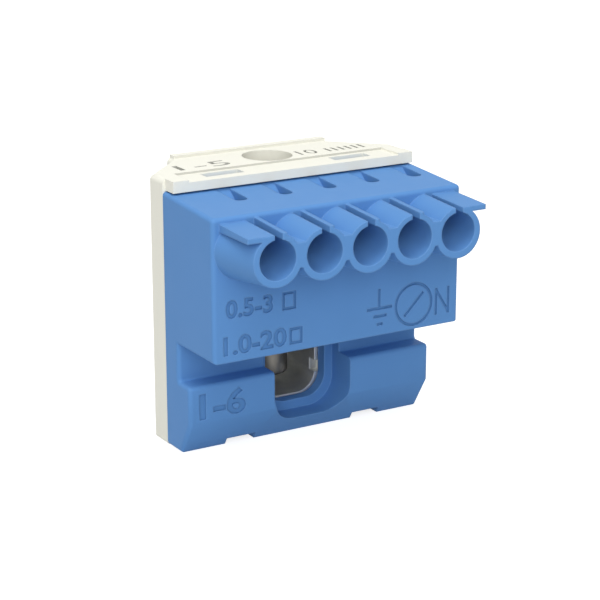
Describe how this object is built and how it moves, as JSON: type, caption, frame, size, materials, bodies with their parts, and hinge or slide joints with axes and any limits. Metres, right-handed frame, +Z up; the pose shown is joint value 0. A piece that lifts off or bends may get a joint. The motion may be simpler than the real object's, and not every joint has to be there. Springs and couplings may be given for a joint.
{
  "type": "terminal block",
  "caption": "Terminal block with a row of push-in wire funnels over one screw clamp, in a blue front cover on a white rear carrier.",
  "frame": {"origin": "middle of the block's box, on the plane that it stands on", "axes": "+X along the row of funnels to the right seen from the front, +Y from the funnel mouths to the back, +Z up"},
  "size_m": [0.039, 0.033, 0.0382],
  "materials": {
    "blue_plastic": "fine matte moulding",
    "white_plastic": "fine matte moulding",
    "tinned_brass": "tin plated",
    "plated_steel": "zinc plated",
    "screw_steel": "zinc plated",
    "spring_steel": "bright spring steel"
  },
  "bodies": {
    "block": {"front_cover": "blue_plastic", "rear_carrier": "white_plastic", "current_bar": "tinned_brass", "clamp_cage": "plated_steel", "push_in_spring_1": "spring_steel", "push_in_spring_2": "spring_steel", "push_in_spring_3": "spring_steel", "push_in_spring_4": "spring_steel", "push_in_spring_5": "spring_steel"},
    "pad": {"pressure_pad": "screw_steel"},
    "screw": {"clamp_screw": "screw_steel"}
  },
  "joints": [
    {"name": "pad_lift", "type": "slide", "parent": "block", "child": "pad", "axis": [0, 0, 1], "range_m": [-0.0013, 0.0072]},
    {"name": "screw_turn", "type": "hinge", "parent": "pad", "child": "screw", "pos_m": [0, 0.0106, 0.0252], "axis": [0, 0, 1], "range_deg": [-480, 2610]}
  ],
  "couplings": [
    {"joint": "screw_turn", "follows": "pad_lift", "rad_per_m": 6283.2}
  ]
}
